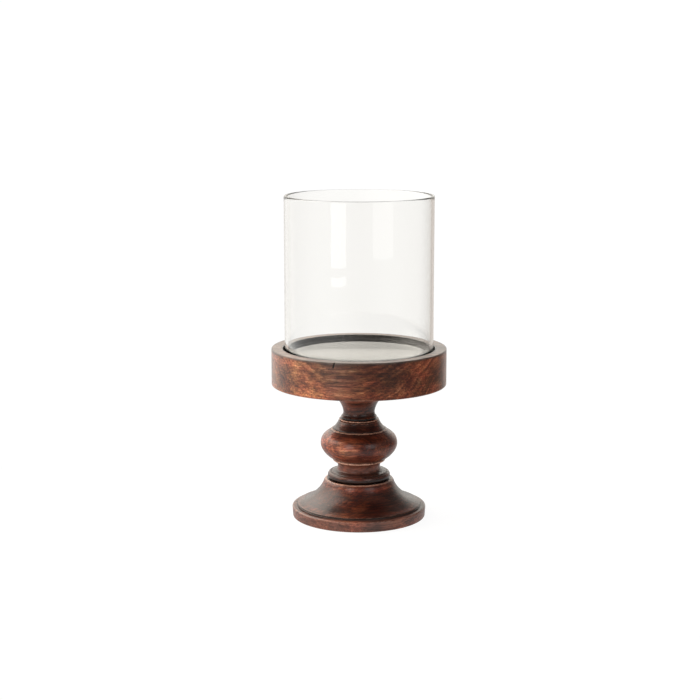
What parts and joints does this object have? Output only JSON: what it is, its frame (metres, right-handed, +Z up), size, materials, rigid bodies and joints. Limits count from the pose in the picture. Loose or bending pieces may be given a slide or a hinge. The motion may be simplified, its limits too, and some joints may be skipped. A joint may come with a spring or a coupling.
{
  "type": "pedestal hurricane candle holder",
  "caption": "Turned wooden pedestal, with a baluster stem on a bell-shaped foot, whose round tray holds a clear glass cylinder for a pillar candle.",
  "frame": {"origin": "centre of the felt pad's underside, on the surface that the holder stands on", "axes": "+Z up along the turning axis; the object is round about it, so +X and +Y are free"},
  "size_m": [0.178, 0.178, 0.33],
  "materials": {
    "glass": "clear, polished",
    "wood_tray": "dark red-brown stain under satin lacquer",
    "wood_stem": "dark red-brown stain under satin lacquer",
    "wood_base": "dark red-brown stain under satin lacquer",
    "brass": "machined",
    "zinc_steel": "bright zinc plate",
    "felt": "matt pressed felt"
  },
  "bodies": {
    "stand": {"tray": "wood_tray", "stem": "wood_stem", "base": "wood_base", "threaded_insert": "brass", "tie_rod": "zinc_steel", "base_washer": "zinc_steel", "base_nut": "zinc_steel", "felt_pad": "felt"},
    "glass": {"glass_hurricane": "glass"}
  },
  "joints": [
    {"name": "glass_lift", "type": "slide", "parent": "stand", "child": "glass", "axis": [0, 0, 1], "range_m": [0, 0.06]}
  ]
}
